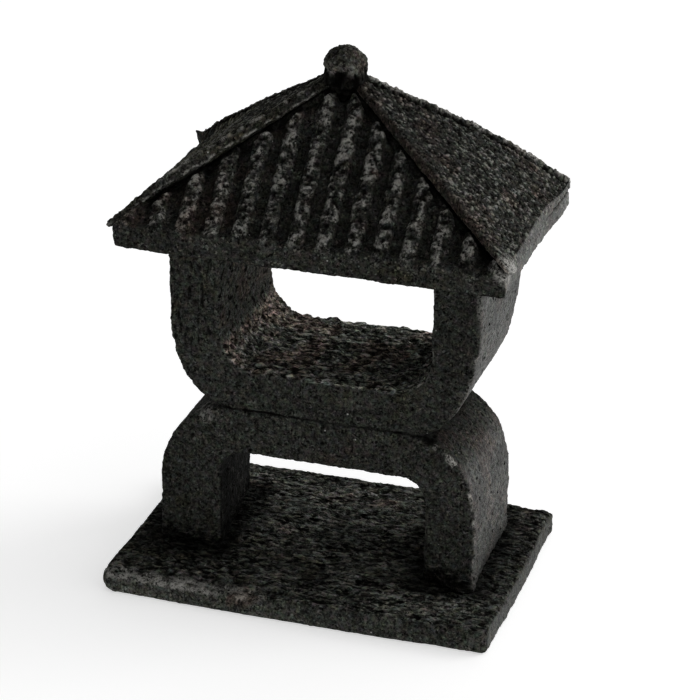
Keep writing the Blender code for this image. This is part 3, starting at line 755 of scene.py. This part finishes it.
def warp_left_slab(points, direction):
    """The slab is hollow between its raised hip edges, and its outer edge is worn."""
    x, y, z = points.T
    front = np.abs(hip_distance(points, FRONT_LEFT))
    back = np.abs(hip_distance(points, BACK_LEFT))
    top = flat_top(direction)
    hollow = ramp(front, 3, 10) * (1 - ramp(z, 168, 178)) * top
    rim = (1 - ramp(back, 2.5, 6.0)) * ramp(z, 150, 153) * top
    lift = rim * (0.6 + 1.4 * (1 - ramp(z, 158, 170)))
    worn = 0.9 * ramp(-x, 68, 75) * ramp(y, -32, -5)
    return np.stack([worn, 0 * x, lift - 1.8 * hollow * (1 - rim) - corner_drop(points)], axis=1)


def warp_right_slab(points, direction):
    """A raised rim runs along the back hip, and the outer edge swells with the eave under it."""
    back = np.abs(hip_distance(points, BACK_RIGHT)) + 0.3 * noise(points, 4.0, 841)
    rim = (1 - ramp(back, 1.5, 2.6)) * ramp(direction[:, 2], 0.0, 0.4)
    out = right_swell(points)
    lift = rim * (1.1 + 0.3 * noise(points, 3.0, 796)) - SLAB_RAMP * out * flat_top(direction)
    return np.stack([out, 0 * lift, lift], axis=1)


def carve_finial(points, direction, edge):
    """Pecked all over, with a paler patch in front and painted shadow on its foot."""
    height, cavity = pebbly(points, 800)
    height = height + 0.6 * noise(points, 4.5, 850)
    # Painted shadow on the foot, where the finial sits down on the roof
    foot = ramp(-points[:, 2] + 0.9 * noise(points, 2.2, 856), -203.6, -201.5)
    patch = ramp(-direction[:, 1], 0.2, 0.7) * (1 - ramp(points[:, 2], 205, 207.5)) * (1 - foot)
    tone = (0.88 + 0.5 * patch) * (1 - 0.84 * foot)
    cavity = 0.8 * cavity + (0.60 + 0.35 * noise(points, 3.0, 855)) * foot
    return fields(points, height, cavity, 860, 0.3 * patch, tone, rust=-0.3 + 0.3 * patch)


def warp_finial(points, direction):
    """The foot comes down on the slabs, the neck under it fills the gap between them, and the top is a little
    pointed."""
    x, y, z = points.T
    foot = (1 - ramp(z, 199.8, 202.5)) * ramp(z, 198.5, 198.9)
    top = ramp(z, 204.5, 211.5)
    neck = ramp(z, 190.0, 193.0) * (1 - ramp(z, 198.3, 198.8))
    wide = 0.16 * foot - 0.22 * top
    move_x = (wide + 0.6 * neck) * (x - APEX[0])
    return np.stack([move_x, wide * (y - APEX[1]), -3.0 * foot - 0.5 * top], axis=1)


# ---------------------------------------------------------------- materials


class Nodes:
    """A short way to write a material's node tree."""

    def __init__(self, name):
        self.material = bpy.data.materials.new(name)
        self.material.use_nodes = True
        self.tree = self.material.node_tree
        self.shader = self.tree.nodes["Principled BSDF"]

    def add(self, kind, settings=None, **inputs):
        node = self.tree.nodes.new(kind)
        for key, value in (settings or {}).items():
            setattr(node, key, value)
        for key, value in inputs.items():
            self.connect(value, node.inputs[key.replace("_", " ")])
        return node

    def connect(self, value, socket):
        if isinstance(value, bpy.types.NodeSocket):
            self.tree.links.new(value, socket)
        else:
            socket.default_value = value

    def math(self, operation, first, second=0.0, third=0.0, clamp=False):
        node = self.tree.nodes.new("ShaderNodeMath")
        node.operation = operation
        node.use_clamp = clamp
        for socket, value in zip(node.inputs, (first, second, third)):
            self.connect(value, socket)
        return node.outputs[0]

    def span(self, value, low, high, to_low=0.0, to_high=1.0):
        node = self.tree.nodes.new("ShaderNodeMapRange")
        node.interpolation_type = "SMOOTHSTEP"
        for socket, item in zip(node.inputs, (value, low, high, to_low, to_high)):
            self.connect(item, socket)
        return node.outputs[0]

    def blend(self, factor, first, second, mode="MIX"):
        node = self.tree.nodes.new("ShaderNodeMix")
        node.data_type = "RGBA"
        node.blend_type = mode
        self.connect(factor, node.inputs["Factor"])
        self.connect(first, node.inputs[6])
        self.connect(second, node.inputs[7])
        return node.outputs[2]

    def attribute(self, name):
        return self.add("ShaderNodeAttribute", {"attribute_name": name}).outputs["Fac"]

    def vector(self, operation, first, second=None, third=None):
        node = self.tree.nodes.new("ShaderNodeVectorMath")
        node.operation = operation
        for socket, value in zip(node.inputs, (first, second, third)):
            if value is not None:
                self.connect(value, socket)
        return node

    def millimetres(self):
        node = self.vector("SCALE", self.add("ShaderNodeTexCoord").outputs["Object"])
        node.inputs["Scale"].default_value = 1 / MM
        return node.outputs[0]

    def noise_colour(self, place, scale):
        """Three fields of noise at once, as a colour."""
        return self.add("ShaderNodeTexNoise", Vector=place, Scale=scale).outputs["Color"]

    def noise(self, place, scale, detail=3.0, roughness=0.55, distortion=0.0):
        node = self.tree.nodes.new("ShaderNodeTexNoise")
        self.connect(place, node.inputs["Vector"])
        node.inputs["Distortion"].default_value = distortion
        node.inputs["Scale"].default_value = scale
        node.inputs["Detail"].default_value = detail
        node.inputs["Roughness"].default_value = roughness
        return node.outputs["Fac"]

    def cells(self, place, scale):
        """Distance to the nearest point, and that point's own random number."""
        node = self.tree.nodes.new("ShaderNodeTexVoronoi")
        self.connect(place, node.inputs["Vector"])
        node.inputs["Scale"].default_value = scale
        pick = self.add("ShaderNodeSeparateColor", Color=node.outputs["Color"]).outputs[0]
        return node.outputs["Distance"], pick


def stone_material(name, dark, light, pale):
    """Black lava stone: mottled, grainy, with dark pores, pale crystals and rubbed edges."""
    made = Nodes(name)
    place = made.millimetres()
    cavity, wear, tone = made.attribute("cavity"), made.attribute("wear"), made.attribute("tone")
    warm, polish, streaky = made.attribute("warmth"), made.attribute("polish"), made.attribute("streak")

    broad = made.noise(place, 0.13, 3)
    medium = made.noise(place, 0.55, 2, 0.6)
    fine = made.noise(place, 1.25, 3, 0.75, 0.4)

    # Ridges and ruts of a chiselled face, drawn out along x
    stretched = made.vector("MULTIPLY", place, (0.30, 0.62, 0.8)).outputs[0]
    dash = made.noise(stretched, 0.95, 2, 0.55, 0.5)
    ridge = made.math("MULTIPLY", streaky, made.span(dash, 0.52, 0.66))
    rut = made.math("MULTIPLY", streaky, made.span(dash, 0.48, 0.36))

    # Dark and light patches, then light grains
    patch = made.math("ADD", made.math("MULTIPLY", medium, 0.35), made.math("MULTIPLY", fine, 0.65))
    colour = made.blend(made.span(patch, 0.41, 0.61), dark, light)

    bent = made.vector("MULTIPLY_ADD", made.noise_colour(place, 0.9), (2.4, 2.4, 2.4), place).outputs[0]
    crest = made.span(cavity, -0.15, -0.85)
    grain_distance, grain_pick = made.cells(bent, 0.80)
    grain = made.math(
        "MULTIPLY",
        made.span(grain_distance, 0.60, 0.22),
        made.span(grain_pick, 0.55, 0.95),
    )
    raised = made.math("MULTIPLY", made.math("MAXIMUM", grain, crest), pale)
    raised = made.math("MULTIPLY", raised, made.span(cavity, 0.6, 0.1))
    raised = made.math("MAXIMUM", raised, ridge)
    colour = made.blend(raised, colour, GRAIN)

    # Slow changes of hue, faint coloured specks, and the carving's own tone, which also carries its painted
    # light and shade
    brown, green, olive = (
        made.blend(1.0, colour, tint, "MULTIPLY") for tint in (BROWN_TINT, GREEN_TINT, OLIVE_TINT)
    )
    lean = made.math("MULTIPLY_ADD", warm, 0.5, broad)
    colour = made.blend(made.span(lean, 0.50, 1.0), green, brown)
    colour = made.blend(made.span(lean, -0.05, -0.45), colour, olive)
    specks = made.blend(1.0, made.noise_colour(place, 0.45), DOUBLE, "MULTIPLY")
    colour = made.blend(0.30, colour, specks, "MULTIPLY")
    shade = made.add("ShaderNodeCombineColor", Red=tone, Green=tone, Blue=tone).outputs[0]
    colour = made.blend(1.0, colour, shade, "MULTIPLY")

    # A few pale crystals, and chalky stone where it is rubbed
    crystal_distance, crystal_pick = made.cells(place, 0.42)
    crystal = made.math(
        "MULTIPLY",
        made.span(crystal_distance, 0.18, 0.08),
        made.span(crystal_pick, 0.980, 0.995),
    )
    colour = made.blend(crystal, colour, CRYSTAL)
    rubbed = made.math("MULTIPLY", wear, made.span(fine, 0.34, 0.56), clamp=True)
    chalk = made.blend(made.span(lean, 0.6, 1.2), CHALK, WARM_CHALK)
    colour = made.blend(made.math("POWER", rubbed, 1.55), colour, chalk)

    # Pores over everything, and black where the carving's cavity is high, painted shade in recesses and grooves
    # included
    pore_distance, pore_pick = made.cells(bent, 0.75)
    pore = made.math("MULTIPLY", made.span(pore_distance, 0.48, 0.22), made.span(pore_pick, 0.46, 0.64))
    pore = made.math("MULTIPLY", pore, made.math("MULTIPLY_ADD", polish, -0.4, 1.0))
    hollow = made.math("MAXIMUM", made.math("MULTIPLY", pore, 0.9), made.span(cavity, 0.10, 0.95), clamp=True)
    hollow = made.math("MAXIMUM", hollow, made.math("MULTIPLY", rut, 0.9))
    colour = made.blend(made.math("MULTIPLY", hollow, 0.93), colour, BLACK)

    roughness = made.span(polish, 0.0, 1.0, 0.85, 0.50)
    gloss = made.math("MULTIPLY", made.math("SUBTRACT", 1.0, hollow), made.span(polish, 0.0, 1.0, 0.06, 0.38))
    relief = made.math("MULTIPLY_ADD", pore, -1.0, fine)
    relief = made.math("MULTIPLY_ADD", grain, 0.6, relief)
    relief = made.math("MULTIPLY_ADD", ridge, 1.2, relief)
    relief = made.math("MULTIPLY_ADD", rut, -1.2, relief)
    bump = made.add("ShaderNodeBump", Strength=1.0, Distance=0.6 * MM, Height=relief)

    made.connect(colour, made.shader.inputs["Base Color"])
    made.connect(made.math("MULTIPLY_ADD", hollow, 0.15, roughness), made.shader.inputs["Roughness"])
    made.connect(gloss, made.shader.inputs["Specular IOR Level"])
    made.connect(bump.outputs["Normal"], made.shader.inputs["Normal"])
    return made.material


def mortar_material():
    """Dark, sandy bonding mortar."""
    made = Nodes("mortar")
    place = made.millimetres()
    sand = made.noise(place, 3.0, 3, 0.7)
    patches = made.noise(place, 0.4, 2)
    colour = made.blend(patches, (0.012, 0.012, 0.011, 1.0), (0.024, 0.023, 0.021, 1.0))
    colour = made.blend(made.span(sand, 0.55, 0.75), colour, (0.05, 0.048, 0.044, 1.0))
    bump = made.add("ShaderNodeBump", Strength=0.8, Distance=0.2 * MM, Height=sand)
    made.connect(colour, made.shader.inputs["Base Color"])
    made.connect(made.span(sand, 0.3, 0.7, 0.82, 0.97), made.shader.inputs["Roughness"])
    made.connect(bump.outputs["Normal"], made.shader.inputs["Normal"])
    return made.material


# ---------------------------------------------------------------- stage, light, camera


def add_floor():
    bpy.ops.mesh.primitive_plane_add(size=FLOOR_SIZE, location=(0, 0, FLOOR_Z))
    floor = bpy.context.object
    floor.name = "floor"
    made = Nodes("pale_floor")
    made.shader.inputs["Base Color"].default_value = (FLOOR_TINT, FLOOR_TINT, FLOOR_TINT, 1.0)
    made.shader.inputs["Roughness"].default_value = 1.0
    made.shader.inputs["Specular IOR Level"].default_value = 0.0
    made.shader.inputs["Emission Color"].default_value = WHITE
    made.shader.inputs["Emission Strength"].default_value = FLOOR_GLOW
    floor.data.materials.append(made.material)


def add_world():
    """A white studio: dim in front of the object, bright to its right and behind it."""
    world = bpy.data.worlds.new("studio")
    bpy.context.scene.world = world
    world.use_nodes = True
    tree = world.node_tree
    tree.nodes.clear()
    out = tree.nodes.new("ShaderNodeOutputWorld")
    mix = tree.nodes.new("ShaderNodeMixShader")
    white = tree.nodes.new("ShaderNodeBackground")
    light = tree.nodes.new("ShaderNodeBackground")
    path = tree.nodes.new("ShaderNodeLightPath")
    place = tree.nodes.new("ShaderNodeTexCoord")
    facing = tree.nodes.new("ShaderNodeVectorMath")
    strength = tree.nodes.new("ShaderNodeMapRange")
    facing.operation = "DOT_PRODUCT"
    facing.inputs[1].default_value = Vector(SKY_FROM).normalized()
    strength.inputs["From Min"].default_value = SKY_SPREAD[0]
    strength.inputs["From Max"].default_value = SKY_SPREAD[1]
    strength.inputs["To Min"].default_value = SKY_DIM
    strength.inputs["To Max"].default_value = SKY_BRIGHT
    tree.links.new(place.outputs["Generated"], facing.inputs[0])
    tree.links.new(facing.outputs["Value"], strength.inputs["Value"])
    tree.links.new(strength.outputs["Result"], light.inputs["Strength"])
    tree.links.new(path.outputs["Is Camera Ray"], mix.inputs["Fac"])
    tree.links.new(light.outputs[0], mix.inputs[1])
    tree.links.new(white.outputs[0], mix.inputs[2])
    tree.links.new(mix.outputs[0], out.inputs["Surface"])
    white.inputs["Color"].default_value = WHITE


def add_sun():
    sun = bpy.data.lights.new("softbox", "SUN")
    sun.energy = SUN_STRENGTH
    sun.angle = math.radians(SUN_ANGLE)
    holder = bpy.data.objects.new("softbox", sun)
    holder.rotation_mode = "QUATERNION"
    holder.rotation_quaternion = Vector(SUN_FROM).to_track_quat("Z", "Y")
    bpy.context.scene.collection.objects.link(holder)


def add_camera():
    azimuth, elevation, roll = (math.radians(angle) for angle in (AZIMUTH, ELEVATION, ROLL))
    reach, rise = math.cos(elevation), math.sin(elevation)
    back = Vector((math.sin(azimuth) * reach, -math.cos(azimuth) * reach, rise))
    level = Vector((math.cos(azimuth), math.sin(azimuth), 0))
    upright = back.cross(level)
    right = level * math.cos(roll) + upright * math.sin(roll)
    up = upright * math.cos(roll) - level * math.sin(roll)
    camera = bpy.data.objects.new("camera", bpy.data.cameras.new("camera"))
    camera.data.lens = LENS
    camera.data.sensor_width = SENSOR
    camera.data.shift_x, camera.data.shift_y = SHIFT
    camera.data.clip_start, camera.data.clip_end = CLIP
    turn = Matrix((right, up, back)).transposed().to_4x4()
    camera.matrix_world = Matrix.Translation(TARGET + back * DISTANCE) @ turn
    bpy.context.scene.collection.objects.link(camera)
    bpy.context.scene.camera = camera


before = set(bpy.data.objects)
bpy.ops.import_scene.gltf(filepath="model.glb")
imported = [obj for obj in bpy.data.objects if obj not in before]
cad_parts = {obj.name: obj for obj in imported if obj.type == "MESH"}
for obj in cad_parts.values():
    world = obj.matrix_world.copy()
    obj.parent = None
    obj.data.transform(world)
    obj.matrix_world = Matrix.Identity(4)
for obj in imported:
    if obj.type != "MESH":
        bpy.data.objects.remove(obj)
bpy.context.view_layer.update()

add_camera()
add_floor()
add_world()
add_sun()
bpy.context.scene.view_settings.view_transform = "Standard"

stone_looks = {name: stone_material(name, *looks) for name, looks in STONES.items()}
mortar = mortar_material()

stone("base_slab", "lava_stone", carve_base, warp_base, round_mm=0.55)
stone("lower_arch", "lava_stone", carve_arch, warp_arch)
stone("upper_cradle", "lava_stone", carve_cradle, warp_cradle)
stone("roof_core", "lava_stone", carve_core, warp_core)
front_tiles = carve_tiles(500, FRONT_LEFT, FRONT_RIGHT)
back_tiles = carve_tiles(600, BACK_LEFT, BACK_RIGHT)
stone("roof_front_panel", "lava_stone_tiles", front_tiles, warp_front_tiles, round_mm=0.6)
stone("roof_back_panel", "lava_stone_tiles", back_tiles, warp_back_tiles, round_mm=0.6)
left_slab = carve_slab(700, FRONT_LEFT, BACK_LEFT, rim=0.9, smooth=0.3, rust=-1.5, face_shade=0.0)
right_slab = carve_slab(750, FRONT_RIGHT, BACK_RIGHT, rim=0.0, smooth=1.0, rust=0.1, face_shade=0.10)
stone("roof_left_slab", "lava_stone_sawn", left_slab, warp_left_slab, round_mm=0.5, swell_mm=0.35)
stone("roof_right_slab", "lava_stone_sawn", right_slab, warp_right_slab, round_mm=0.5, swell_mm=0.35)
stone("finial", "lava_stone_finial", carve_finial, warp_finial, round_mm=0.8, swell_mm=0.0)

for name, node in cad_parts.items():
    if "_bed" in name:
        node.data.materials.clear()
        node.data.materials.append(mortar)
